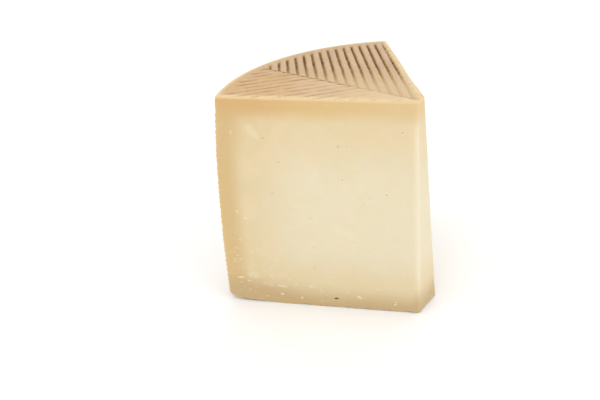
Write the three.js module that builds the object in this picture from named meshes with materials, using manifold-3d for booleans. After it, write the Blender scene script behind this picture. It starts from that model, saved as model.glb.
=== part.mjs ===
// A hand-cut wedge of a pressed, hard-rinded sheep's milk cheese, about a fifth of a tall wheel.
// The wheel is turned about its own upright axis, the carved boards of its mould press a herringbone
// of grooves into its two flat faces, and three knife strokes free the wedge: the front cut,
// the back cut and a narrow trim across the tip. The whole wedge is one solid.
// Millimetres, +Z up. The front cut faces -Y, and the curved rind is on the left and at the back.
import * as THREE from "three";
import { mergeVertices } from "three/addons/utils/BufferGeometryUtils.js";
import Module from "manifold-3d";

// The wheel
const HEIGHT = 115;
const TOP_RADIUS = 96; // where the side meets the top rim
const GIRTH_RADIUS = 99; // the widest ring, below the middle, where the wheel has settled
const GIRTH_HEIGHT = 48;
const FOOT_RADIUS = 98.1; // where the side turns in under the wheel
const FOOT_HEIGHT = 7;
const TOP_RIM_ROUND = 1.8;
const HEEL_RADIUS = 92; // the underside's outer edge, which lifts clear of the table
const HEEL_LIFT = 1.8;
const FLAT_RADIUS = 70; // the underside is flat, and rests on the table, out to here
const WHEEL_SEGMENTS = 144;

// The knife strokes. Each has the direction that it faces, in degrees anticlockwise from +X seen
// from above, its distance from the wheel's axis at the top face, and how far it leans out downwards.
const FRONT_CUT = { facing: -90, offset: 0, lean: 0 };
const TIP_CUT = { facing: -26, offset: -4.5, lean: 3 };
const BACK_CUT = { facing: 14.2, offset: -0.5, lean: 7 };

// The carved boards
const GROOVE_PITCH = 4.43;
const GROOVE_WIDTH = 1.6;
const GROOVE_DEPTH = 1.1;
const PLAIN_RIM = 4.5; // ungrooved border inside the top radius
const SPINE_DIRECTION = 153.3; // the line where the herringbone's two halves meet, from the axis outwards
// Each half's grooves: their direction, the distance of the first one from the axis and their number.
const BACK_HALF = { direction: 102.3, first: -72.6, count: 20 };
const FRONT_HALF = { direction: 29, first: -73.9, count: 20 };

const BLOCK_SIDE = 400; // larger than the wheel

const wasm = await Module();
wasm.setup();

const radians = THREE.MathUtils.degToRad;

// A closed three.js geometry, moved by a matrix, as a solid that can be cut and joined.
function solidFrom(geometry, matrix = new THREE.Matrix4()) {
  const bare = geometry.clone().applyMatrix4(matrix);
  bare.deleteAttribute("normal");
  bare.deleteAttribute("uv");
  const merged = mergeVertices(bare);
  return new wasm.Manifold(
    new wasm.Mesh({
      numProp: 3,
      vertProperties: new Float32Array(merged.attributes.position.array),
      triVerts: new Uint32Array(merged.index.array),
    }),
  );
}

function geometryFrom(solid) {
  const mesh = solid.getMesh();
  const geometry = new THREE.BufferGeometry();
  geometry.setAttribute("position", new THREE.BufferAttribute(mesh.vertProperties, mesh.numProp));
  geometry.setIndex(new THREE.BufferAttribute(mesh.triVerts, 1));
  return geometry;
}

// Half of the wheel's upright section, from the middle of the underside to the middle of the top.
function wheelProfile() {
  const outline = new THREE.Path();
  outline.moveTo(0, 0);
  outline.lineTo(FLAT_RADIUS, 0);
  outline.quadraticCurveTo((FLAT_RADIUS + HEEL_RADIUS) / 2, HEEL_LIFT / 6, HEEL_RADIUS, HEEL_LIFT);
  outline.quadraticCurveTo(FOOT_RADIUS + 0.4, HEEL_LIFT + 0.4, FOOT_RADIUS, FOOT_HEIGHT);
  outline.splineThru([
    new THREE.Vector2(GIRTH_RADIUS - 0.3, FOOT_HEIGHT + 14),
    new THREE.Vector2(GIRTH_RADIUS, GIRTH_HEIGHT),
    new THREE.Vector2(GIRTH_RADIUS - 0.5, 0.66 * HEIGHT),
    new THREE.Vector2(TOP_RADIUS, HEIGHT - TOP_RIM_ROUND),
  ]);
  outline.quadraticCurveTo(TOP_RADIUS, HEIGHT, TOP_RADIUS - TOP_RIM_ROUND, HEIGHT);
  outline.lineTo(0, HEIGHT);
  return outline.getPoints(4);
}

function wheel() {
  const lathe = new THREE.LatheGeometry(wheelProfile(), WHEEL_SEGMENTS);
  return solidFrom(lathe, new THREE.Matrix4().makeRotationX(Math.PI / 2));
}

// Everything on the far side of a knife stroke, as a block whose one face is the cut.
function wasteBeyond(cut) {
  const across = radians(cut.facing);
  const lean = radians(cut.lean);
  const level = new THREE.Vector3(Math.cos(across), Math.sin(across), 0);
  const normal = level.clone().multiplyScalar(Math.cos(lean)).setZ(Math.sin(lean));
  const middle = level.multiplyScalar(cut.offset).setZ(HEIGHT).addScaledVector(normal, BLOCK_SIDE / 2);
  const turn = new THREE.Quaternion().setFromUnitVectors(new THREE.Vector3(0, 0, 1), normal);
  const matrix = new THREE.Matrix4().compose(middle, turn, new THREE.Vector3(1, 1, 1));
  return solidFrom(new THREE.BoxGeometry(BLOCK_SIDE, BLOCK_SIDE, BLOCK_SIDE), matrix);
}

// One long V-shaped rib of a board, lying on the plane z = 0 with its edge pointing down.
function boardRib(direction, offset) {
  const section = new THREE.Shape();
  section.moveTo(0, -GROOVE_DEPTH);
  section.lineTo(GROOVE_WIDTH, GROOVE_DEPTH);
  section.lineTo(-GROOVE_WIDTH, GROOVE_DEPTH);
  section.closePath();
  const rib = new THREE.ExtrudeGeometry(section, { depth: BLOCK_SIDE, bevelEnabled: false });
  rib.translate(0, 0, -BLOCK_SIDE / 2);
  rib.rotateX(Math.PI / 2); // its length now runs along Y
  const matrix = new THREE.Matrix4().makeRotationZ(radians(direction - 90));
  matrix.multiply(new THREE.Matrix4().makeTranslation(offset, 0, 0));
  return solidFrom(rib, matrix);
}

// The part of a board on one side of the herringbone's spine, out to the given radius.
function boardHalf(half, side, radius) {
  const disc = new THREE.CylinderGeometry(radius, radius, 4 * GROOVE_DEPTH, WHEEL_SEGMENTS);
  const middle = new THREE.Matrix4().makeRotationX(Math.PI / 2);
  const sideTurn = new THREE.Matrix4().makeRotationZ(radians(SPINE_DIRECTION));
  sideTurn.multiply(new THREE.Matrix4().makeTranslation(0, (side * BLOCK_SIDE) / 2, 0));
  const sideBlock = new THREE.BoxGeometry(BLOCK_SIDE, BLOCK_SIDE, BLOCK_SIDE);
  const zone = solidFrom(disc, middle).intersect(solidFrom(sideBlock, sideTurn));
  let ribs = boardRib(half.direction, half.first);
  for (let i = 1; i < half.count; i++) {
    ribs = ribs.add(boardRib(half.direction, half.first + i * GROOVE_PITCH));
  }
  return ribs.intersect(zone);
}

function board(radius, matrix) {
  const whole = boardHalf(BACK_HALF, -1, radius).add(boardHalf(FRONT_HALF, 1, radius));
  return solidFrom(geometryFrom(whole), matrix);
}

// The lower board is the upper one turned over about its spine. It bites only where the wheel is flat.
function pressedWheel() {
  const spine = radians(SPINE_DIRECTION);
  const spineAxis = new THREE.Vector3(Math.cos(spine), Math.sin(spine), 0);
  const lift = new THREE.Matrix4().makeTranslation(0, 0, HEIGHT);
  const turnOver = new THREE.Matrix4().makeRotationAxis(spineAxis, Math.PI);
  return wheel()
    .subtract(board(TOP_RADIUS - PLAIN_RIM, lift))
    .subtract(board(FLAT_RADIUS - PLAIN_RIM, turnOver));
}

const wedge = new THREE.Mesh(
  geometryFrom(
    pressedWheel()
      .subtract(wasteBeyond(FRONT_CUT))
      .subtract(wasteBeyond(BACK_CUT))
      .subtract(wasteBeyond(TIP_CUT)),
  ),
  new THREE.MeshStandardMaterial({ color: 0xe6cf9c, roughness: 0.6, metalness: 0 }),
);
wedge.name = "cheese_wedge";

// The origin is under the middle of the wedge's box, at the height of the flat that it rests on.
const box = new THREE.Box3().setFromObject(wedge);
const boxMiddle = box.getCenter(new THREE.Vector3());
wedge.position.set(-boxMiddle.x, -boxMiddle.y, -box.min.z);

const group = new THREE.Group();
group.add(wedge);
export default group;
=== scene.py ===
"""A wedge of pressed sheep's milk cheese, modelled in the order that the real one is made.

The sector of a wheel is spun and its side takes the print of the plaited mould. Carved boards press
a herringbone of grooves into its top and underside. A knife then frees the wedge with a front cut,
a back cut and a trim across the tip, and small eyes and tears are opened in the cut paste.
The settings are in metres. The functions work in millimetres, and turn them into metres only where
they hand a size to Blender.
"""

import math
import random
from typing import NamedTuple

import bpy
import numpy as np
from mathutils import Matrix, Quaternion, Vector, noise


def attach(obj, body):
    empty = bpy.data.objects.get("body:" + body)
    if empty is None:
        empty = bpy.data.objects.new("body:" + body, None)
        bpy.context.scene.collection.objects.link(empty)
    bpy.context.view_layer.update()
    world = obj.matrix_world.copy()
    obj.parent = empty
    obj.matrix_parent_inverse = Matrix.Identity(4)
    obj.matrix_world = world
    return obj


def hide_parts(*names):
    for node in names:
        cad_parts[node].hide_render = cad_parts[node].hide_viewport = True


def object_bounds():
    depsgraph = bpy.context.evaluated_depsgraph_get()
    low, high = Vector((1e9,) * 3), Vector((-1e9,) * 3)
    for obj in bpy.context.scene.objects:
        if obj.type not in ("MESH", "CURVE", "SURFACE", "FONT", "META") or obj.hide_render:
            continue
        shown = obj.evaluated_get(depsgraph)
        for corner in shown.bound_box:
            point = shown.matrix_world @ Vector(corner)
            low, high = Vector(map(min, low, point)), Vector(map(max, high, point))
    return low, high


bl_info = {
    "name": "Cheese wedge",
    "version": (1, 0, 0),
    "blender": (4, 5, 0),
    "location": "3D Viewport > Sidebar > Cheese",
    "description": "Spins, presses and cuts a wedge of hard sheep's milk cheese",
    "category": "Object",
}

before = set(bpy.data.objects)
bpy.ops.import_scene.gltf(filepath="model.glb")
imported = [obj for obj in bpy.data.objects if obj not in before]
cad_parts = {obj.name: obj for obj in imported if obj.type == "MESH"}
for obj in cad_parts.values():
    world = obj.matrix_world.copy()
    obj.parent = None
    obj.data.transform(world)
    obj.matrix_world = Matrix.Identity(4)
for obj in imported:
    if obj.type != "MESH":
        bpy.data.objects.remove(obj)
CAD_BOX = [Vector(corner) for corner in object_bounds()]

MM = 0.001
PIECE = "cut_wedge"
GIRTH_RADIUS = 99.0  # mm: the widest ring of the CAD wheel, which touches the box's left side
# The wheel's axis stands in the plane of the front cut.
WHEEL_AXIS = Vector((CAD_BOX[0].x + GIRTH_RADIUS * MM, CAD_BOX[0].y, 0.0))


class WheelSettings(bpy.types.PropertyGroup):
    """The wheel that the wedge is cut from."""

    height: bpy.props.FloatProperty(
        name="Height", description="Height of the wheel", default=0.115, unit="LENGTH"
    )
    girth_radius: bpy.props.FloatProperty(
        name="Girth radius",
        description="Radius of the wheel's widest ring",
        default=0.09895,
        unit="LENGTH",
    )
    girth_height: bpy.props.FloatProperty(
        name="Girth height",
        description="Height of the widest ring above the table",
        default=0.048,
        unit="LENGTH",
    )
    top_radius: bpy.props.FloatProperty(
        name="Top radius",
        description="Radius of the wheel at its top rim",
        default=0.096,
        unit="LENGTH",
    )
    flat_radius: bpy.props.FloatProperty(
        name="Flat radius",
        description="Radius out to which the underside lies flat on the table",
        default=0.070,
        unit="LENGTH",
    )
    heel_lift: bpy.props.FloatProperty(
        name="Heel lift",
        description="Height by which the underside's outer edge clears the table",
        default=0.0018,
        unit="LENGTH",
    )
    plait_depth: bpy.props.FloatProperty(
        name="Plait depth",
        description="Depth of the plaited print round the side",
        default=0.0006,
        unit="LENGTH",
    )


class BoardSettings(bpy.types.PropertyGroup):
    """The carved boards that press the two flat faces."""

    pitch: bpy.props.FloatProperty(
        name="Groove pitch",
        description="Distance from one groove to the next",
        default=0.00443,
        unit="LENGTH",
    )
    depth: bpy.props.FloatProperty(
        name="Groove depth",
        description="Depth of the deepest grooves",
        default=0.0012,
        unit="LENGTH",
    )
    plain_rim: bpy.props.FloatProperty(
        name="Plain rim",
        description="Width of the ungrooved border",
        default=0.0034,
        unit="LENGTH",
    )
    spine: bpy.props.FloatProperty(
        name="Spine",
        description="Direction of the line where the two halves of the herringbone meet",
        default=math.radians(153.3),
        unit="ROTATION",
    )


class KnifeSettings(bpy.types.PropertyGroup):
    """The marks that the knife leaves."""

    waviness: bpy.props.FloatProperty(
        name="Waviness",
        description="How far the cut faces wander from flat",
        default=0.00035,
        unit="LENGTH",
    )
    eyes: bpy.props.IntProperty(
        name="Eyes", description="Number of small eyes opened by each long cut", default=26
    )
    tears: bpy.props.IntProperty(
        name="Tears", description="Number of small tears scattered over each long cut", default=34
    )


class ColourSettings(bpy.types.PropertyGroup):
    """The main colours of the cheese."""

    heart: bpy.props.FloatVectorProperty(
        name="Heart",
        description="Colour of the paste in the middle",
        subtype="COLOR",
        size=3,
        default=(0.740, 0.657, 0.467),
    )
    under_rind: bpy.props.FloatVectorProperty(
        name="Under the rind",
        description="Colour of the drier paste under the top rind",
        subtype="COLOR",
        size=3,
        default=(0.666, 0.467, 0.203),
    )
    rind: bpy.props.FloatVectorProperty(
        name="Rind",
        description="Colour of the rind between the grooves",
        subtype="COLOR",
        size=3,
        default=(0.501, 0.338, 0.205),
    )
    # The mould in the deep grooves, together with painted shade in them.
    groove_mould_and_shade: bpy.props.FloatVectorProperty(
        name="Groove",
        description="Colour of the mould left in the deep grooves",
        subtype="COLOR",
        size=3,
        default=(0.130, 0.055, 0.010),
    )


# ---------------------------------------------------------------- modelling helpers


def deselect():
    if bpy.context.object and bpy.context.object.mode != "OBJECT":
        bpy.ops.object.mode_set(mode="OBJECT")
    bpy.ops.object.select_all(action="DESELECT")


def pick(piece):
    deselect()
    piece.select_set(True)
    bpy.context.view_layer.objects.active = piece


def edit_all(piece):
    pick(piece)
    bpy.ops.object.mode_set(mode="EDIT")
    bpy.ops.mesh.select_mode(type="VERT")
    bpy.ops.mesh.select_all(action="SELECT")


def get_points(piece):
    """The piece's vertices as rows of x, y, z in millimetres."""
    flat = np.empty(3 * len(piece.data.vertices), dtype=np.float32)
    piece.data.vertices.foreach_get("co", flat)
    return flat.reshape(-1, 3).astype(np.float64) / MM


def set_points(piece, points):
    piece.data.vertices.foreach_set("co", (points * MM).astype(np.float32).ravel())
    piece.data.update()


def grain(points, size, seed, octaves=2):
    """Smooth noise from about -1 to 1 at rows of points, with features of the given size in mm."""
    shift = Vector((37.1 * seed, -11.3 * seed, 5.7 * seed))
    return np.array(
        [noise.fractal(Vector(p) / size + shift, 1.0, 2.0, octaves) for p in points]
    )


def smooth_step(low, high, value):
    t = np.clip((value - low) / (high - low), 0.0, 1.0)
    return t * t * (3.0 - 2.0 * t)


def cut_away(body, tool):
    """Takes the tool's solid out of the body, whose new faces take the tool's materials."""
    cut = body.modifiers.new("Cut", "BOOLEAN")
    cut.operation = "DIFFERENCE"
    cut.solver = "MANIFOLD"
    cut.material_mode = "TRANSFER"
    cut.object = tool
    pick(body)
    before = len(body.data.vertices)
    bpy.ops.object.modifier_apply(modifier=cut.name)
    if len(body.data.vertices) in (0, before):
        raise RuntimeError(f"{tool.name} took nothing from the cheese, or took all of it")
    bpy.data.objects.remove(tool)


def plate(name, centre, normal, size, cells, material):
    """A fine grid, square to its normal, with its width along the level direction."""
    deselect()
    across = Vector((0, 0, 1)).cross(normal)
    across = across.normalized() if across.length > 1e-6 else Vector((1, 0, 0))
    turn = Matrix((across, normal.cross(across), normal)).transposed()
    bpy.ops.mesh.primitive_grid_add(
        x_subdivisions=cells[0],
        y_subdivisions=cells[1],
        size=1.0,
        location=centre,
        rotation=turn.to_euler(),
    )
    grid = bpy.context.object
    grid.name = grid.data.name = name
    grid.scale = (size[0], size[1], 1.0)
    bpy.ops.object.transform_apply()
    grid.data.materials.append(material)
    return grid


def thicken(grid, travel):
    """Extrudes the shaped grid into a closed block that reaches out along the travel."""
    edit_all(grid)
    bpy.ops.mesh.extrude_region_move(TRANSFORM_OT_translate={"value": travel})
    bpy.ops.mesh.select_all(action="SELECT")
    bpy.ops.mesh.normals_make_consistent(inside=False)
    bpy.ops.object.mode_set(mode="OBJECT")


# ---------------------------------------------------------------- the wheel


def side_radius(wheel, z):
    """The wheel's radius at a height above the table, in millimetres."""
    girth, middle = wheel.girth_radius / MM, wheel.girth_height / MM
    share = np.abs(z - middle) / (wheel.height / MM - middle)
    return girth - (girth - wheel.top_radius / MM) * share**SIDE_POWER


def underside(wheel, radius):
    """How far the underside clears the table at a distance from the axis, in millimetres."""
    reach = np.clip((radius - wheel.flat_radius / MM) / HEEL_SPAN, 0.0, None)
    return wheel.heel_lift / MM * reach**HEEL_POWER


SIDE_POWER = 2.4  # how suddenly the side draws in above and below its widest ring
HEEL_POWER = 1.4  # and how suddenly the underside lifts
HEEL_SPAN = 22.0  # mm, from the flat to the heel's outer edge
FOOT_HEIGHT = 7.0  # mm: the heel's round ends here
RIM_ROUND = 1.3
HEEL_BULGE = 0.4  # how far the heel's bend stands out past the foot and above the underside
STOCK = 0.6  # mm that the boards press away from the flat faces
STOCK_IN = 6.0  # mm from the edge of the underside's flat to its stock
PLAIN_TOP = 5.0  # and from the top rim
STOCK_SLOPE = 2.0
SECTOR = (math.radians(-3), math.radians(183))  # a little more than the half behind the front cut
SIDE_STEP = 0.62  # mm between the side's rows, and between its columns


def half_section(wheel):
    """The upright half section: rows of radius and height in mm, from the axis round to the axis."""
    height = wheel.height / MM
    flat = wheel.flat_radius / MM
    section = [(0.0, -STOCK), (flat - STOCK_IN - STOCK_SLOPE, -STOCK), (flat - STOCK_IN, 0.0)]
    for radius in np.linspace(flat, flat + HEEL_SPAN, 12):
        section.append((radius, float(underside(wheel, radius))))
    heel = Vector(section[-1])
    foot = Vector((side_radius(wheel, FOOT_HEIGHT), FOOT_HEIGHT))
    bend = Vector((foot.x + HEEL_BULGE, heel.y + HEEL_BULGE))
    for t in np.linspace(0, 1, 12)[1:-1]:
        section.append(tuple((1 - t) ** 2 * heel + 2 * t * (1 - t) * bend + t * t * foot))
    rows = round((height - RIM_ROUND - FOOT_HEIGHT) / SIDE_STEP)
    for z in np.linspace(FOOT_HEIGHT, height - RIM_ROUND, rows):
        section.append((side_radius(wheel, z), z))
    rim = section[-1][0]
    for turn in np.linspace(0, math.pi / 2, 6)[1:]:
        section.append(
            (rim - RIM_ROUND * (1 - math.cos(turn)), height - RIM_ROUND * (1 - math.sin(turn)))
        )
    inner = wheel.top_radius / MM - PLAIN_TOP
    section += [(inner, height), (inner - STOCK_SLOPE, height + STOCK), (0.0, height + STOCK)]
    return section


PLAIT_BAND = 9.0  # mm: height of one course of the plaited mould
PLAIT_PITCH = 3.3  # mm between neighbouring straws
PLAIT_SLANT = 1.15  # how far a straw runs round the wheel for each mm of height


def plait_print(wheel, points):
    """How deep the plaited mould has pressed the side at each point, from 0 to 1."""
    z = points[:, 2]
    along = np.arctan2(points[:, 1], points[:, 0]) * wheel.girth_radius / MM
    along = along + 0.7 * grain(points, 14.0, 3)
    course = z / PLAIT_BAND + 0.08 * grain(points, 22.0, 4)
    band = np.floor(course)
    within = course - band
    slant = np.where(band % 2 < 1, 1.0, -1.0)
    phase = along / PLAIT_PITCH + slant * within * PLAIT_BAND / PLAIT_PITCH * PLAIT_SLANT + 0.37 * band
    straw = 0.5 + 0.5 * np.cos(2 * math.pi * phase)
    seam = 1.0 - smooth_step(0.0, 0.13, np.minimum(within, 1.0 - within))
    depth = 0.75 * (1.0 - straw**0.7) * (1.0 - 0.5 * seam) + 0.55 * seam
    worn = 0.9 + 0.25 * grain(points, 30.0, 5)
    ends = smooth_step(5.0, 13.0, z) * (
        1.0 - smooth_step(wheel.height / MM - 7.0, wheel.height / MM - 3.0, z)
    )
    return np.clip(depth * worn, 0.0, 1.0) * ends


class CHEESE_OT_wheel(bpy.types.Operator):
    """Spin the sector of the wheel and press the plaited mould into its side"""

    bl_idname = "cheese.wheel"
    bl_label = "Wheel sector"

    def execute(self, context):
        wheel = context.scene.cheese_wheel
        section = half_section(wheel)
        deselect()
        bpy.ops.mesh.primitive_circle_add(vertices=len(section), radius=0.1)
        piece = context.object
        piece.name = piece.data.name = PIECE
        start = Vector((math.cos(SECTOR[0]), math.sin(SECTOR[0])))
        set_points(piece, np.array([(r * start.x, r * start.y, z) for r, z in section]))
        edit_all(piece)
        turn = SECTOR[1] - SECTOR[0]
        steps = round(turn * wheel.girth_radius / MM / SIDE_STEP)
        bpy.ops.mesh.spin(
            steps=steps, angle=-turn, center=(0, 0, 0), axis=(0, 0, 1), use_auto_merge=False
        )
        bpy.ops.mesh.select_all(action="SELECT")
        bpy.ops.mesh.remove_doubles(threshold=0.01 * MM)
        bpy.ops.mesh.select_all(action="DESELECT")
        bpy.ops.mesh.select_non_manifold(
            extend=False, use_wire=True, use_boundary=True, use_multi_face=False
        )
        bpy.ops.mesh.fill_holes(sides=0)
        bpy.ops.mesh.select_all(action="SELECT")
        bpy.ops.mesh.normals_make_consistent(inside=False)
        bpy.ops.object.mode_set(mode="OBJECT")
        points = get_points(piece)
        radius = np.hypot(points[:, 0], points[:, 1])
        outer = radius > side_radius(wheel, points[:, 2]) - 0.05
        pressed = wheel.plait_depth / MM * plait_print(wheel, points[outer])
        points[outer, :2] *= (1.0 - pressed / radius[outer])[:, None]
        set_points(piece, points)
        piece.data.materials.append(bpy.data.materials["rind"])
        return {"FINISHED"}


# ---------------------------------------------------------------- the boards


def groove_shape(distance, near, far):
    """A rounded V: 1 in the middle and 0 beyond its width on the near and on the far side."""
    return 1.0 - smooth_step(0.15, 1.0, np.abs(distance) / np.where(distance < 0, near, far))


def turn_about_z(angle):
    """The matrix that turns rows of points so that their x runs along the given direction."""
    return np.array(Matrix.Rotation(angle, 3, "Z"))


def board_along(normal):
    """The direction that a half's grooves run in."""
    return normal + math.pi / 2


def seam(board, points):
    """The narrow slit along the spine, where the board's two halves meet, in mm of depth."""
    across = points[:, 1] * math.cos(board.spine) - points[:, 0] * math.sin(board.spine)
    broken = np.clip(0.6 + 0.6 * grain(points, 5.0, 15), 0.0, 1.0)
    return 0.25 * broken * (1.0 - smooth_step(0.1, 0.7, np.abs(across)))


def back_half_print(board, points, worn):
    """The deep straight grooves beside the back cut, in mm of depth."""
    across = points @ np.array([math.cos(BACK_NORMAL), math.sin(BACK_NORMAL), 0.0])
    pitch = board.pitch / MM
    wander = 0.16 * grain(points, 9.0, 11) + 0.10 * grain(points, 2.6, 12)
    row = (across + wander - BACK_FIRST) / pitch
    distance = (row - np.round(row)) * pitch
    depth = 0.17 + 0.83 * smooth_step(10.0, 58.0, points[:, 1])
    depth = depth if worn else np.full_like(depth, 0.8)
    depth = depth * (0.9 + 0.25 * grain(points, 5.0, 13))
    ragged = 0.22 * grain(points, 2.4, 14)
    # Each groove is a wide shallow shelf, leaning to one side, with a narrow core in it.
    shelf = 0.35 * groove_shape(distance, 0.95, 1.90)
    core = 0.70 * groove_shape(distance, 0.78 + ragged, 0.96 + ragged)
    return board.depth / MM * depth * (shelf + core) + seam(board, points)


def front_half_print(board, points, worn):
    """The shallow, stepped grooves beside the front cut, in mm of depth."""
    across = points @ np.array([math.cos(FRONT_NORMAL), math.sin(FRONT_NORMAL), 0.0])
    pitch = board.pitch / MM
    wander = 0.22 * grain(points, 8.0, 21) + 0.12 * grain(points, 2.2, 22)
    row = (across + wander - FRONT_FIRST) / pitch
    # Each strip slopes down to the next, and a thin broken slit runs between them.
    step = row - np.floor(row)
    slope = 0.30 * (1.0 - step) ** 1.5 * smooth_step(0.0, 0.10, step)
    slit = 0.75 * groove_shape((row - np.round(row)) * pitch, 0.45, 0.60)
    lengthwise = points @ turn_about_z(board_along(FRONT_NORMAL)) * np.array([0.2, 1.0, 1.0])
    patchy = np.clip(0.65 + 0.9 * grain(lengthwise, 1.5, 23), 0.0, 1.2)
    level = 0.45 + 0.55 * smooth_step(-10.0, -60.0, points[:, 0]) if worn else 0.9
    return (slope + slit * patchy) * level * board.depth / MM * 0.75 + seam(board, points)


BACK_NORMAL = math.radians(12.3)  # across the back half's grooves
BACK_FIRST = -72.6
FRONT_NORMAL = math.radians(-61.0)
FRONT_FIRST = -73.9
PRESS = 0.12  # mm: how far the whole board sinks into the face
OVERLAP = 0.15  # mm: how far each half of the board reaches past the spine
BOARD_THICKNESS = 8.0
BOARD_LENGTH = 108.0  # mm along the grooves
BOARD_MIDDLE = 47.0  # mm from the axis to the middle of that length
CELL_ACROSS, CELL_ALONG = 0.34, 1.15  # mm: the grid's cells, across the grooves and along them
HIDDEN_COARSE = 1.6  # how much larger they are on the underside


def press_board(context, top):
    """Presses both halves of one carved board into the top or the underside."""
    wheel, board = context.scene.cheese_wheel, context.scene.cheese_board
    body = bpy.data.objects[PIECE]
    height = wheel.height / MM
    reach = (wheel.top_radius if top else wheel.flat_radius) / MM
    printed = reach - board.plain_rim / MM
    coarse = 1.0 if top else HIDDEN_COARSE
    spine = board.spine
    for side, normal, across, width, relief in (
        (-1, BACK_NORMAL, -32.0, 96.0, back_half_print),
        (1, FRONT_NORMAL, -35.0, 102.0, front_half_print),
    ):
        turned = side if top else -side
        facing = normal if top else 2 * spine - normal
        along = facing + math.pi / 2 * (1 if top else -1)
        middle = across * Vector((math.cos(facing), math.sin(facing), 0)) - BOARD_MIDDLE * (
            side * Vector((math.cos(along), math.sin(along), 0))
        )
        deselect()
        bpy.ops.mesh.primitive_grid_add(
            x_subdivisions=round(width / (CELL_ACROSS * coarse)),
            y_subdivisions=round(BOARD_LENGTH / (CELL_ALONG * coarse)),
            size=1.0,
            location=middle * MM,
            rotation=(0, 0, facing),
        )
        half = context.object
        half.name = "board_half"
        half.scale = (width * MM, BOARD_LENGTH * MM, 1.0)
        bpy.ops.object.transform_apply()
        half.data.materials.append(bpy.data.materials["rind"])
        points = get_points(half)
        flat = points.copy()
        if not top:  # the lower board is the upper one turned over about its spine
            mirror = Matrix.Rotation(math.pi, 3, Vector((math.cos(spine), math.sin(spine), 0)))
            flat = points @ np.array(mirror).T
        # The print fades out raggedly before the rim. The board isn't quite flat or smooth, and its
        # border stands back, so that the plain rim stays as high as it was.
        radius = np.hypot(points[:, 0], points[:, 1])
        edge = radius + 0.8 * grain(flat, 3.0, 31)
        depth = relief(board, flat, top) * (1.0 - smooth_step(printed - 1.2, printed + 0.3, edge))
        depth = depth + 0.05 * (1.0 + grain(flat, 14.0, 32)) + 0.02 * (1.0 + grain(flat, 1.6, 33))
        lift = 0.9 * smooth_step(printed + 0.4, printed + 2.4, radius)
        sunk = depth - lift + (PRESS if top else 0.0)
        points[:, 2] = height - sunk if top else sunk
        set_points(half, points)
        thicken(half, (0, 0, BOARD_THICKNESS * (MM if top else -MM)))
        edit_all(half)
        outwards = Vector((-math.sin(spine), math.cos(spine), 0)) * -turned
        bpy.ops.mesh.bisect(
            plane_co=outwards * OVERLAP * MM, plane_no=outwards, use_fill=True, clear_outer=True
        )
        bpy.ops.object.mode_set(mode="OBJECT")
        cut_away(body, half)


class CHEESE_OT_boards(bpy.types.Operator):
    """Press the carved boards into the top and the underside"""

    bl_idname = "cheese.boards"
    bl_label = "Board prints"

    def execute(self, context):
        press_board(context, top=True)
        press_board(context, top=False)
        return {"FINISHED"}


# ---------------------------------------------------------------- the knife


class Stroke(NamedTuple):
    """One stroke of the knife, in degrees and millimetres."""

    facing: float  # the direction that its cut face looks in
    offset: float  # its distance from the axis, level with the top of the wheel
    lean: float  # how far it leans out downwards
    width: float  # of the blade
    shift: float  # of the blade's middle, along the stroke from the axis


# The two long cuts start just past the axis and run out beyond the rim.
STROKES = {
    "front": Stroke(-90.0, 0.0, 0.0, 112.0, -44.0),
    "back": Stroke(14.2, -0.5, 7.0, 112.0, 48.0),
    "tip": Stroke(-26.0, -4.5, 3.0, 100.0, 30.0),
}
BLADE_MARGIN = 6.0  # mm that the blade is taller than the wheel
BLADE_CELL = 1.0  # mm
BLADE_REACH = 160.0  # mm that it clears beyond the cut


def stroke_plane(wheel, stroke):
    """A point on the stroke, level with the top, and the stroke's outward normal."""
    facing, lean = math.radians(stroke.facing), math.radians(stroke.lean)
    level = Vector((math.cos(facing), math.sin(facing), 0))
    normal = level * math.cos(lean) + Vector((0, 0, math.sin(lean)))
    return level * stroke.offset + Vector((0, 0, wheel.height / MM)), normal


def draw_knife(context, name):
    """The waste on the far side of one stroke, as a block whose near face is the wavy cut."""
    wheel, knife = context.scene.cheese_wheel, context.scene.cheese_knife
    stroke = STROKES[name]
    point, normal = stroke_plane(wheel, stroke)
    level = Vector((0, 0, 1)).cross(normal).normalized()
    down = normal.cross(level)
    tall, wide = wheel.height / MM + BLADE_MARGIN, stroke.width
    middle = point + level * stroke.shift - down * (wheel.height / MM / 2)
    blade = plate(
        "knife_" + name,
        middle * MM,
        normal,
        (wide * MM, tall * MM),
        (round(wide / BLADE_CELL), round(tall / BLADE_CELL)),
        bpy.data.materials["paste"],
    )
    points = get_points(blade)
    stretched = points * np.array([1.0, 1.0, 0.45])
    wander = 0.5 + 0.5 * grain(stretched, 34.0, 41) + 0.22 * grain(points, 9.0, 42)
    drag = 0.10 * grain(points * np.array([1.0, 1.0, 0.12]), 2.4, 43)
    depth = knife.waviness / MM * np.clip(wander + drag, 0.02, 1.4)
    points -= depth[:, None] * np.array(normal)
    set_points(blade, points)
    thicken(blade, Vector((normal.x, normal.y, 0)).normalized() * BLADE_REACH * MM)
    return blade


# The eyes that the front cut opened, each with its distance from the axis, height and size in mm.
FRONT_EYES = (
    (75, 95, 0.34),
    (68, 83, 0.30),
    (72, 66, 0.30),
    (40, 92, 0.38),
    (38, 75, 0.34),
    (25, 66, 0.30),
    (17, 68, 0.34),
    (52, 24, 0.30),
    (11, 100, 0.36),
    (32, 41, 0.24),
)
NICK = (41, 5.6, 1.15)  # likewise
TEAR_DEPTH = 0.12  # mm
BACK_TO_FRONT_EYES = 5  # how many more chance eyes the back cut has
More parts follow.
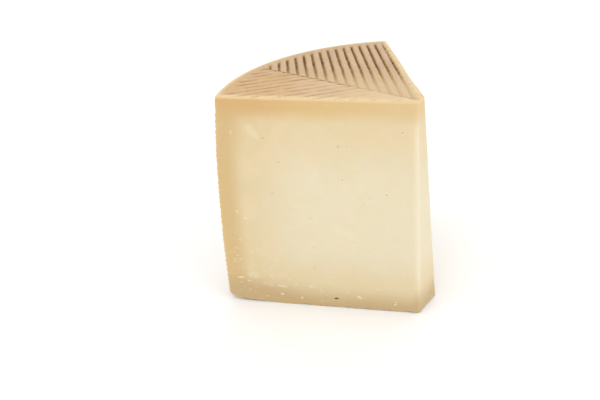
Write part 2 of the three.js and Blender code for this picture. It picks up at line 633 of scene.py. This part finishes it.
# Flakes that the blade tore out, each with its distance, height, length, width and tilt in degrees.
FRONT_TEARS = (
    (85, 51, 4.8, 1.4, 5),
    (84, 31, 1.6, 1.1, 20),
    (62, 26, 2.0, 0.9, -15),
    (52, 36, 2.4, 1.5, 55),
    (91, 15, 4.6, 1.0, -8),
    (74, 17, 3.2, 1.2, 70),
    (67, 18, 2.0, 1.6, 0),
    (69, 11, 5.6, 0.9, 4),
    (54, 12, 2.6, 1.2, 40),
    (57, 23, 3.4, 1.0, 0),
    (86, 21, 2.4, 0.8, -5),
    (33, 28, 2.4, 0.9, -10),
    (21, 23, 2.2, 1.1, 15),
    (20, 13, 2.8, 0.9, 0),
    (29, 7.5, 2.9, 1.4, 30),
    (90, 97, 2.4, 0.6, 85),
)


# Soft pale scuffs on the front cut, each with its distance, height, length, width and tilt.
FRONT_SCUFFS = (
    (35, 45, 22, 6, -26),
    (80, 98, 12, 6, -50),
    (73, 12, 18, 4, 0),
    (84, 17, 9, 6, 0),
)


class CHEESE_OT_knife(bpy.types.Operator):
    """Cut the wedge free, open its eyes and tears, and round its edges a little"""

    bl_idname = "cheese.knife"
    bl_label = "Knife cuts"

    def execute(self, context):
        body = bpy.data.objects[PIECE]
        for name in STROKES:
            cut_away(body, draw_knife(context, name))
        heights = get_points(body)[:, 2]
        if heights.max() > context.scene.cheese_wheel.height / MM or heights.min() < -0.001:
            raise RuntimeError("a board left some of the wedge unpressed")
        self.open_faces(context, body)
        self.settle(body)
        return {"FINISHED"}

    def open_faces(self, context, body):
        """Opens small eyes, one nick and shallow tears in the two long cuts."""
        wheel, knife = context.scene.cheese_wheel, context.scene.cheese_knife
        chance = random.Random(7)
        eyes = [(Vector((-out, 0, up)), (size, size, size), 0) for out, up, size in FRONT_EYES]
        nicks = [(Vector((-NICK[0], 0, NICK[1])), (NICK[2], 0.6 * NICK[2], 0.5 * NICK[2]), -10)]
        tears = [
            (Vector((-out, 0, up)), (length / 2, TEAR_DEPTH, width / 2), tilt)
            for out, up, length, width, tilt in FRONT_TEARS
        ]
        for name in ("front", "back"):
            point, normal = stroke_plane(wheel, STROKES[name])
            level = Vector((0, 0, 1)).cross(normal).normalized()
            down = normal.cross(level)
            level *= -1 if name == "front" else 1
            count = knife.eyes // BACK_TO_FRONT_EYES if name == "front" else knife.eyes
            for _ in range(count):
                out, below = chance.uniform(12, 86), chance.uniform(8, 106)
                size = chance.uniform(0.14, 0.32)
                eyes.append((point + level * out - down * below, (size, size, size), 0))
            for _ in range(knife.tears):
                out = 92 - 84 * chance.random() ** 1.3
                below = 111 - 60 * chance.random() ** 1.6
                length = chance.uniform(0.6, 2.2)
                size = (length / 2, TEAR_DEPTH, length * chance.uniform(0.15, 0.35))
                tears.append((point + level * out - down * below, size, chance.uniform(-30, 40)))
        for kind, blobs in (("eye", eyes), ("nick", nicks), ("torn", tears)):
            cut_away(body, self.blobs(context, body, kind, blobs, chance))

    def blobs(self, context, body, kind, blobs, chance):
        """One object of rough little ellipsoids, each half sunk in the nearest cut face."""
        made = []
        for spot, size, tilt in blobs:
            found, place, facing, _ = body.closest_point_on_mesh(spot * MM)
            if not found:
                raise RuntimeError(f"no cut face near the {kind} at {spot}")
            deselect()
            bpy.ops.mesh.primitive_ico_sphere_add(subdivisions=2, radius=MM, location=place)
            blob = context.object
            blob.scale = size
            turn = facing.to_track_quat("-Y", "Z")
            blob.rotation_euler = (turn @ Quaternion((0, 1, 0), math.radians(tilt))).to_euler()
            bpy.ops.object.transform_apply(location=False)
            edit_all(blob)
            bpy.ops.transform.vertex_random(
                offset=0.14 * size[2] * MM, uniform=0.0, normal=1.0, seed=chance.randrange(1, 999)
            )
            bpy.ops.object.mode_set(mode="OBJECT")
            made.append(blob)
        deselect()
        for blob in made:
            blob.select_set(True)
        context.view_layer.objects.active = made[0]
        bpy.ops.object.join()
        bpy.ops.object.transform_apply()
        made[0].name = kind
        made[0].data.materials.clear()
        made[0].data.materials.append(bpy.data.materials[kind])
        return made[0]

    def settle(self, body):
        """Softens the cut edges, and moves the finished wedge from the axis to its place."""
        edit_all(body)
        bpy.ops.mesh.select_mode(type="EDGE")
        bpy.ops.mesh.select_all(action="DESELECT")
        bpy.ops.mesh.edges_select_sharp(sharpness=math.radians(50))
        bpy.ops.mesh.vertices_smooth(factor=0.35, repeat=1)
        bpy.ops.mesh.select_mode(type="VERT")
        bpy.ops.mesh.select_all(action="SELECT")
        bpy.ops.transform.translate(value=WHEEL_AXIS)
        bpy.ops.object.mode_set(mode="OBJECT")
        pick(body)
        bpy.ops.object.shade_smooth_by_angle(angle=math.radians(38))


# ---------------------------------------------------------------- materials


SIDE_LIGHT, TOP_LIGHT = 1.14, 1.30  # how bright the stage makes a white wall and a white top


def as_seen(red, green, blue, light=SIDE_LIGHT):
    """The linear colour that looks like this screen colour, 11 to 255, under the stage's light."""
    return [((v / 255 + 0.055) / 1.055) ** 2.4 / light for v in (red, green, blue)]


def seen_on_top(red, green, blue):
    return as_seen(red, green, blue, TOP_LIGHT)


class Field:
    """A number that varies over the surface. Sums on fields add the Math nodes they need."""

    def __init__(self, shop, socket):
        self.shop, self.socket = shop, socket

    def math(self, operation, *values):
        return self.shop.node("ShaderNodeMath", {"operation": operation}, values)

    def __add__(self, other):
        return self.math("ADD", self, other)

    def __radd__(self, other):
        return self.math("ADD", other, self)

    def __sub__(self, other):
        return self.math("SUBTRACT", self, other)

    def __rsub__(self, other):
        return self.math("SUBTRACT", other, self)

    def __mul__(self, other):
        return self.math("MULTIPLY", self, other)

    def __rmul__(self, other):
        return self.math("MULTIPLY", other, self)

    def __truediv__(self, other):
        return self.math("DIVIDE", self, other)

    def __rtruediv__(self, other):
        return self.math("DIVIDE", other, self)

    def __pow__(self, other):
        return self.math("POWER", self, other)

    def size(self):
        return self.math("ABSOLUTE", self)

    def least(self, other):
        return self.math("MINIMUM", self, other)

    def most(self, other):
        return self.math("MAXIMUM", self, other)

    def rise(self, low, high):
        """0 below low, 1 above high and an S between. It falls when low is the larger."""
        values = (self, low, high, 0.0, 1.0) if low < high else (self, high, low, 1.0, 0.0)
        return self.shop.node(
            "ShaderNodeMapRange", {"interpolation_type": "SMOOTHSTEP", "clamp": True}, values
        )


class Workshop:
    """One material's node tree."""

    def __init__(self, name):
        self.material = bpy.data.materials.new(name)
        self.material.use_nodes = True
        self.tree = self.material.node_tree
        self.shader = self.tree.nodes["Principled BSDF"]

    def plug(self, socket, value):
        if isinstance(value, Field):
            self.tree.links.new(value.socket, socket)
        elif hasattr(value, "__len__") and len(value) == 3 and socket.type == "RGBA":
            socket.default_value = (*value, 1.0)
        else:
            socket.default_value = value

    def node(self, kind, settings=None, values=(), output=0):
        """Adds a node: its settings first, then its sockets by order or by name."""
        made = self.tree.nodes.new(kind)
        for setting, value in (settings or {}).items():
            setattr(made, setting, value)
        pairs = values.items() if isinstance(values, dict) else enumerate(values)
        for key, value in pairs:
            self.plug(made.inputs[key], value)
        return Field(self, made.outputs[output])

    def mix(self, share, first, second):
        """Goes from the first colour to the second as the share goes from 0 to 1."""
        return self.node("ShaderNodeMix", {"data_type": "RGBA"}, {0: share, 6: first, 7: second}, 2)

    def place(self):
        """Where each point is in mm, from the wheel's axis and the table."""
        seen = self.node("ShaderNodeTexCoord", output=3)
        moved = self.node("ShaderNodeVectorMath", {"operation": "SUBTRACT"}, (seen, WHEEL_AXIS))
        return self.node(
            "ShaderNodeVectorMath", {"operation": "SCALE"}, {"Vector": moved, "Scale": 1 / MM}
        )

    def split(self, vector):
        return [self.node("ShaderNodeSeparateXYZ", values=(vector,), output=i) for i in range(3)]

    def stretch(self, vector, *factors):
        return self.node("ShaderNodeVectorMath", {"operation": "MULTIPLY"}, (vector, factors))

    def noise(self, vector, size, detail=2.0, roughness=0.5, seed=0.0):
        """Cloudy noise from 0 to 1 with features of about the given size in mm."""
        return self.node(
            "ShaderNodeTexNoise",
            {"noise_dimensions": "4D"},
            {
                "Vector": vector,
                "W": seed,
                "Scale": 1.0 / size,
                "Detail": detail,
                "Roughness": roughness,
            },
        )

    def finish(self, colour, roughness, height, bump, **steady):
        """Feeds the shader, with heights in mm."""
        raised = self.node(
            "ShaderNodeBump", None, {"Height": height, "Distance": MM, "Strength": bump}
        )
        self.plug(self.shader.inputs["Base Color"], colour)
        self.plug(self.shader.inputs["Roughness"], roughness)
        self.plug(self.shader.inputs["Normal"], raised)
        for name, value in steady.items():
            self.plug(self.shader.inputs[name.replace("_", " ")], value)


def depths(shop, wheel, place):
    """How far a point lies inside the wheel's top, side and underside, in mm."""
    x, y, z = shop.split(place)
    radius = (x * x + y * y) ** 0.5
    girth, middle = wheel.girth_radius / MM, wheel.girth_height / MM
    share = (z - middle).size() / (wheel.height / MM - middle)
    side = girth - share**SIDE_POWER * (girth - wheel.top_radius / MM) - radius
    reach = ((radius - wheel.flat_radius / MM) / HEEL_SPAN).most(0.0)
    under = z - reach**HEEL_POWER * (wheel.heel_lift / MM)
    return wheel.height / MM - z, side, under


def board_face(shop, board, colours, place, depth, radius, rim):
    """The colour of the grooved top face."""
    x, y, z = shop.split(place)
    clouds = shop.noise(place, 14.0, 3.0, 0.55)
    mottle = shop.noise(place, 3.0, 4.0, 0.6, 2.0)
    speck = shop.noise(place, 1.0, 3.0, 0.7, 5.0)
    # Above 0 is the back half with its deep grooves, below 0 the front half.
    across = x * math.sin(-board.spine) + y * math.cos(board.spine)
    back_half = across.rise(0.05, -0.05)
    # The back half: pinkish ridges, and grooves with a yellow shoulder and a dark, ragged core. The
    # brown and the dark core are partly mould and partly painted shade, deepening with the groove.
    aged = y.rise(10.0, 48.0)
    ridge = shop.mix(aged, seen_on_top(228, 197, 148), colours.rind)
    ridge = shop.mix(clouds.rise(0.35, 0.65) * 0.45, ridge, seen_on_top(227, 190, 158))
    ridge = shop.mix(mottle.rise(0.50, 0.68) * 0.55, ridge, seen_on_top(226, 196, 142))
    ridge = shop.mix(mottle.rise(0.46, 0.26) * 0.45, ridge, seen_on_top(192, 154, 118))
    worn = radius.rise(rim - 3.0, rim - 6.5)
    share = (depth - 0.19) / (y.rise(10.0, 58.0) * 0.88 + 0.27)
    shoulder = shop.mix(aged, seen_on_top(214, 184, 136), seen_on_top(194, 160, 94))
    deep = shop.mix(share.rise(0.05, 0.28) * 0.9, ridge, shoulder)
    # Brown as the groove deepens: partly mould, partly painted shade.
    brown_mould_and_shade = share.rise(0.34, 0.62) * (y.rise(18.0, 54.0) * 0.85 + 0.06)
    brown_mould_and_shade = brown_mould_and_shade * (mottle.rise(0.30, 0.50) * 0.4 + 0.6)
    deep = shop.mix(brown_mould_and_shade, deep, seen_on_top(158, 108, 50))
    ragged = (speck * 0.5 + mottle * 0.5).rise(0.44, 0.55)
    # The darkest colour, in the deepest part of each groove: partly mould, partly painted shade.
    dark = share.rise(0.46, 0.80) * y.rise(22.0, 56.0) * worn * ragged * 0.95
    deep = shop.mix(dark, deep, colours.groove_mould_and_shade)
    # The front half: golden tan away from the tip, with thin broken brown lines and dark dots.
    tan_zone = x.rise(-48.0, -72.0) * y.rise(44.0, 26.0)
    tan = shop.mix(tan_zone, seen_on_top(227, 195, 153), seen_on_top(221, 181, 128))
    tan = shop.mix(y.rise(22.0, 34.0) * 0.6, tan, seen_on_top(210, 172, 128))
    tan = shop.mix(clouds.rise(0.40, 0.62) * 0.5, tan, seen_on_top(223, 186, 146))
    tan = shop.mix(x.rise(-44.0, -16.0), tan, seen_on_top(236, 206, 160))
    tan = shop.mix(mottle.rise(0.52, 0.72) * 0.5, tan, seen_on_top(233, 202, 156))
    line = depth.rise(0.44, 0.72) * (x.rise(-10.0, -60.0) * 0.75 + 0.25)
    tan = shop.mix(line * 0.85, tan, seen_on_top(154, 108, 60))
    dots = speck.rise(0.66, 0.72) * x.rise(-40.0, -70.0)
    tan = shop.mix(dots * 0.7, tan, seen_on_top(134, 96, 56))
    face = shop.mix(back_half, tan, deep)
    slit = across.size().rise(0.5, 0.15) * radius.rise(26.0, 42.0)
    slit = slit * radius.rise(rim - 2.0, rim - 5.0)
    face = shop.mix(slit * mottle.rise(0.34, 0.56) * 0.55, face, seen_on_top(134, 100, 64))
    # The rim and the cut edges are rubbed pale.
    pale = shop.mix(mottle.rise(0.35, 0.7), seen_on_top(248, 224, 174), seen_on_top(236, 204, 152))
    flare = (radius + mottle * 3.0).rise(rim - 4.0, rim - 1.0) * depth.rise(0.24, 0.50) * 0.7
    border = (radius + mottle * 1.6).rise(rim - 2.6, rim - 0.2) * 0.75
    facing = math.radians(STROKES["back"].facing)
    to_back = STROKES["back"].offset - (x * math.cos(facing) + y * math.sin(facing))
    edge = (y + mottle * 3.6).rise(6.2, 3.0).most((to_back + mottle * 3.6).rise(6.0, 3.0))
    return shop.mix(flare.most(border).most(edge * 0.9), face, pale)


def flank_face(shop, place, depth):
    """The colour of the side and the underside. Painted shade darkens the hollows of their prints in
    brown, and where the prints are deepest a darker colour is partly mould, partly painted shade.
    """
    clouds = shop.noise(place, 18.0, 3.0, 0.55, 14.0)
    mottle = shop.noise(place, 3.2, 4.0, 0.6, 15.0)
    speck = shop.noise(place, 0.9, 3.0, 0.65, 16.0)
    skin = shop.mix(clouds.rise(0.3, 0.7), as_seen(206, 170, 122), as_seen(224, 192, 148))
    skin = shop.mix(mottle.rise(0.45, 0.75) * 0.4, skin, as_seen(188, 148, 100))
    # Painted shade: brown in the hollows of the prints, deeper where they are deeper.
    skin = shop.mix(depth.rise(0.20, 0.60) * 0.75, skin, as_seen(152, 114, 70))
    # Darkest where the prints are deepest: partly mould, partly painted shade.
    mould_and_shade = depth.rise(0.34, 0.75) * (speck * 0.5 + clouds * 0.5).rise(0.46, 0.60)
    return shop.mix(mould_and_shade * 0.85, skin, as_seen(100, 78, 52))


def rind_material(wheel, board, colours):
    shop = Workshop("rind")
    place = shop.place()
    x, y, z = shop.split(place)
    top, side, under = depths(shop, wheel, place)
    depth = top.least(side).least(under)
    radius = (x * x + y * y) ** 0.5
    rim = wheel.top_radius / MM
    face = board_face(shop, board, colours, place, depth, radius, rim)
    on_top = z.rise(wheel.height / MM - 2.6, wheel.height / MM - 1.8)
    colour = shop.mix(on_top, flank_face(shop, place, depth), face)
    rough = shop.noise(place, 2.6, 4.0, 0.6, 2.0)
    fine = shop.noise(place, 0.7, 3.0, 0.65, 8.0)
    shop.finish(
        colour,
        rough * 0.16 + 0.64,
        rough * 0.14 + fine * 0.09,
        0.9,
        Subsurface_Weight=0.12,
        Subsurface_Scale=0.0015,
        Subsurface_Radius=(1.0, 0.6, 0.3),
    )
    return shop.material


def paste_material(wheel, colours):
    shop = Workshop("paste")
    place = shop.place()
    x, y, z = shop.split(place)
    top, side, under = depths(shop, wheel, place)
    clouds = shop.noise(place, 22.0, 2.0, 0.5, 1.0)
    uneven = shop.noise(place, 7.0, 3.0, 0.55, 3.0)
    curd = shop.noise(place, 1.3, 3.0, 0.6, 4.0)
    wander = (clouds - 0.5) * 9.0 + (uneven - 0.5) * 4.0
    heart = shop.mix(clouds.rise(0.35, 0.65) * 0.5, colours.heart, as_seen(238, 224, 190))
    heart = shop.mix(uneven.rise(0.45, 0.75) * 0.3, heart, as_seen(242, 231, 203))
    # The paste is driest and deepest in colour under the rind, and pales slowly inwards.
    paste = shop.mix((side + wander * 0.8).rise(46.0, 10.0) * 0.85, heart, as_seen(230, 208, 162))
    paste = shop.mix((top + wander).rise(46.0, 10.0) * 0.75, paste, as_seen(233, 208, 162))
    paste = shop.mix((under + wander).rise(38.0, 12.0) * 0.75, paste, as_seen(229, 208, 164))
    corner = side.rise(30.0, 8.0) * (top + wander * 0.5).rise(28.0, 8.0)
    paste = shop.mix(corner * 0.8, paste, as_seen(226, 198, 150))
    patches = shop.noise(place, 13.0, 3.0, 0.6, 21.0)
    paste = shop.mix(patches.rise(0.52, 0.70) * 0.35, paste, as_seen(232, 218, 172))
    paste = shop.mix(patches.rise(0.46, 0.30) * 0.30, paste, as_seen(242, 220, 186))
    side_band = (side + wander * 0.35).rise(14.0, 5.0)
    paste = shop.mix(side_band, paste, as_seen(220, 190, 135))
    inner_top = x.rise(4.0, -60.0) * 0.4 + 0.6
    golden = shop.mix(x.rise(-50.0, -84.0), colours.under_rind, as_seen(222, 182, 122))
    paste = shop.mix((top + wander * 0.4).rise(13.5, 4.5) * inner_top, paste, golden)
    # Darker towards the foot, and higher up near the side and on the tip's face: partly the paste's
    # own colour near the underside, partly painted shade low down by the floor.
    foot = under + wander * 0.3 - x.rise(-50.0, -86.0) * 5.0 - x.rise(-4.0, 1.0) * 2.5
    paste = shop.mix(foot.rise(15.0, 1.0), paste, as_seen(206, 178, 131))
    # The driest skin is paler, and thinnest on the side. Along the edge at the tip a pale strip is
    # painted highlight.
    skin = (top + uneven * 1.2).rise(2.4, 1.5).most(side.rise(1.4, 0.8) * 0.1)
    paste = shop.mix(skin * 0.8, paste, as_seen(238, 208, 160))
    # Painted highlight: a soft pale strip down the rounded edge where the front cut meets the tip's
    # face.
    trim = STROKES["tip"]
    facing, slope = math.radians(trim.facing), math.tan(math.radians(trim.lean))
    to_tip = trim.offset - (x * math.cos(facing) + y * math.sin(facing)) + top * slope
    tip = (to_tip + y).rise(3.0, 0.6) * top.rise(4.0, 20.0) * under.rise(8.0, 26.0)
    paste = shop.mix(tip * 0.6, paste, as_seen(246, 235, 206))
    # Soft pale scuffs lie thickest low on the left of the front cut.
    low = z.rise(74.0, 10.0) * (x.rise(-25.0, -80.0) * 0.60 + 0.40)
    scuff = shop.noise(shop.stretch(place, 0.7, 1.0, 1.0), 2.6, 3.0, 0.6, 9.0)
    scuff = scuff.rise(0.56, 0.70) * patches.rise(0.44, 0.58) * (low * 0.8 + 0.2)
    for out, up, length, width, tilt in FRONT_SCUFFS:
        slant = math.radians(tilt)
        along = (x + out) * (math.cos(slant) / length) + (z - up) * (math.sin(slant) / length)
        aside = (z - up) * (math.cos(slant) / width) - (x + out) * (math.sin(slant) / width)
        near = (along * along + aside * aside).rise(0.25, 0.0) * y.rise(2.0, 1.0)
        scuff = scuff.most(near * (curd * 0.6 + uneven * 0.4).rise(0.36, 0.64) * 0.8)
    paste = shop.mix(scuff * 0.55, paste, as_seen(247, 236, 206))
    shop.finish(
        paste,
        curd * 0.14 + 0.42,
        uneven * 0.12 + curd * 0.06 + scuff * 0.08,
        0.7,
        Subsurface_Weight=0.35,
        Subsurface_Scale=0.003,
        Subsurface_Radius=(1.0, 0.72, 0.38),
    )
    return shop.material


def hollow_material(name, dark, light):
    """The inside of an eye, a nick or a tear."""
    shop = Workshop(name)
    shade = shop.noise(shop.place(), 0.8, 2.0, 0.5, 6.0)
    shop.finish(
        shop.mix(shade.rise(0.3, 0.7), dark, light),
        shade * 0.1 + 0.45,
        shade * 0.08,
        0.6,
        Subsurface_Weight=0.2,
        Subsurface_Scale=0.002,
        Subsurface_Radius=(1.0, 0.7, 0.4),
    )
    return shop.material


class CHEESE_OT_finishes(bpy.types.Operator):
    """Make the finishes of the rind, the cut paste and the hollows in it"""

    bl_idname = "cheese.finishes"
    bl_label = "Finishes"

    def execute(self, context):
        scene = context.scene
        rind_material(scene.cheese_wheel, scene.cheese_board, scene.cheese_colours)
        paste_material(scene.cheese_wheel, scene.cheese_colours)
        # The eyes and the nick are darker than the paste: partly their own tone, partly painted shade
        # inside the hollows.
        hollow_material("eye", as_seen(204, 178, 130), as_seen(220, 198, 154))
        hollow_material("nick", as_seen(122, 98, 46), as_seen(166, 138, 82))
        hollow_material("torn", as_seen(235, 214, 170), as_seen(244, 227, 190))
        return {"FINISHED"}


# ---------------------------------------------------------------- the stage


# The soft lights: name, place and diameter in metres, power in watts.
LAMPS = (
    ("Key", (-0.40, -0.45, 0.95), 1.0, 2.2),
    ("Fill", (0.95, -0.40, 0.45), 1.0, 1.6),
    ("Back", (0.10, 0.80, 0.75), 0.9, 1.2),
)
FLOOR_SIZE = 60.0  # metres
LENS, SENSOR = 41.0, 36.0  # mm
CAMERA_PLACE = (-6.68, -283.14, 222.71)  # mm from the wheel's axis at the table
CAMERA_ANGLES = (10.34, 29.01, -2.02)  # degrees: its turn to the left, its dip and its roll


class CHEESE_OT_stage(bpy.types.Operator):
    """Set the floor, the soft lights and the camera"""

    bl_idname = "cheese.stage"
    bl_label = "Stage"

    def execute(self, context):
        self.floor()
        for lamp in LAMPS:
            self.light(*lamp)
        world = bpy.data.worlds.new("Studio")
        world.use_nodes = True
        world.node_tree.nodes["Background"].inputs["Color"].default_value = (1, 1, 1, 1)
        world.node_tree.nodes["Background"].inputs["Strength"].default_value = 1.0
        context.scene.world = world
        context.scene.view_settings.view_transform = "Standard"
        self.camera(context)
        return {"FINISHED"}

    def floor(self):
        deselect()
        bpy.ops.mesh.primitive_plane_add(size=FLOOR_SIZE)
        floor = bpy.context.object
        floor.name = "floor"
        shop = Workshop("floor")
        faint = shop.noise(shop.place(), 60.0)
        colour = shop.mix(faint, (0.92, 0.92, 0.92), (0.94, 0.94, 0.94))
        shop.plug(shop.shader.inputs["Base Color"], colour)
        shop.shader.inputs["Roughness"].default_value = 0.9
        floor.data.materials.append(shop.material)

    def light(self, name, place, size, power):
        lamp = bpy.data.lights.new(name, "AREA")
        lamp.shape, lamp.size, lamp.energy = "DISK", size, power
        holder = bpy.data.objects.new(name, lamp)
        bpy.context.collection.objects.link(holder)
        holder.location = place
        holder.rotation_euler = Vector(place).to_track_quat("Z", "Y").to_euler()

    def camera(self, context):
        data = bpy.data.cameras.new("Camera")
        data.lens, data.sensor_width = LENS, SENSOR
        camera = bpy.data.objects.new("Camera", data)
        context.collection.objects.link(camera)
        azimuth, elevation, roll = (math.radians(angle) for angle in CAMERA_ANGLES)
        turn = (
            Matrix.Rotation(azimuth, 3, "Z")
            @ Matrix.Rotation(math.pi / 2 - elevation, 3, "X")
            @ Matrix.Rotation(roll, 3, "Z")
        )
        place = Vector(CAMERA_PLACE) * MM + WHEEL_AXIS
        camera.matrix_world = Matrix.Translation(place) @ turn.to_4x4()
        context.scene.camera = camera


class CHEESE_OT_place(bpy.types.Operator):
    """Let the wedge stand for its CAD solid"""

    bl_idname = "cheese.place"
    bl_label = "Put in place"

    def execute(self, context):
        piece = bpy.data.objects[PIECE]
        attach(piece, "root")
        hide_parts("cheese_wedge")
        return {"FINISHED"}


class CHEESE_PT_panel(bpy.types.Panel):
    """Lists the steps in their order"""

    bl_idname = "CHEESE_PT_panel"
    bl_label = "Cheese wedge"
    bl_space_type = "VIEW_3D"
    bl_region_type = "UI"
    bl_category = "Cheese"

    def draw(self, context):
        for step in STEPS:
            self.layout.operator(step.bl_idname)
        for group in GROUPS:
            box = self.layout.box()
            settings = getattr(context.scene, group)
            for name in GROUPS[group].__annotations__:
                box.prop(settings, name)


GROUPS = {
    "cheese_wheel": WheelSettings,
    "cheese_board": BoardSettings,
    "cheese_knife": KnifeSettings,
    "cheese_colours": ColourSettings,
}
STEPS = (
    CHEESE_OT_finishes,
    CHEESE_OT_wheel,
    CHEESE_OT_boards,
    CHEESE_OT_knife,
    CHEESE_OT_place,
    CHEESE_OT_stage,
)


def register():
    for name, group in GROUPS.items():
        bpy.utils.register_class(group)
        setattr(bpy.types.Scene, name, bpy.props.PointerProperty(type=group))
    for made in (*STEPS, CHEESE_PT_panel):
        bpy.utils.register_class(made)


def unregister():
    for made in (CHEESE_PT_panel, *reversed(STEPS)):
        bpy.utils.unregister_class(made)
    for name, group in reversed(GROUPS.items()):
        delattr(bpy.types.Scene, name)
        bpy.utils.unregister_class(group)


def main():
    register()
    for step in STEPS:
        group, name = step.bl_idname.split(".")
        getattr(getattr(bpy.ops, group), name)()


if __name__ == "__main__":
    main()
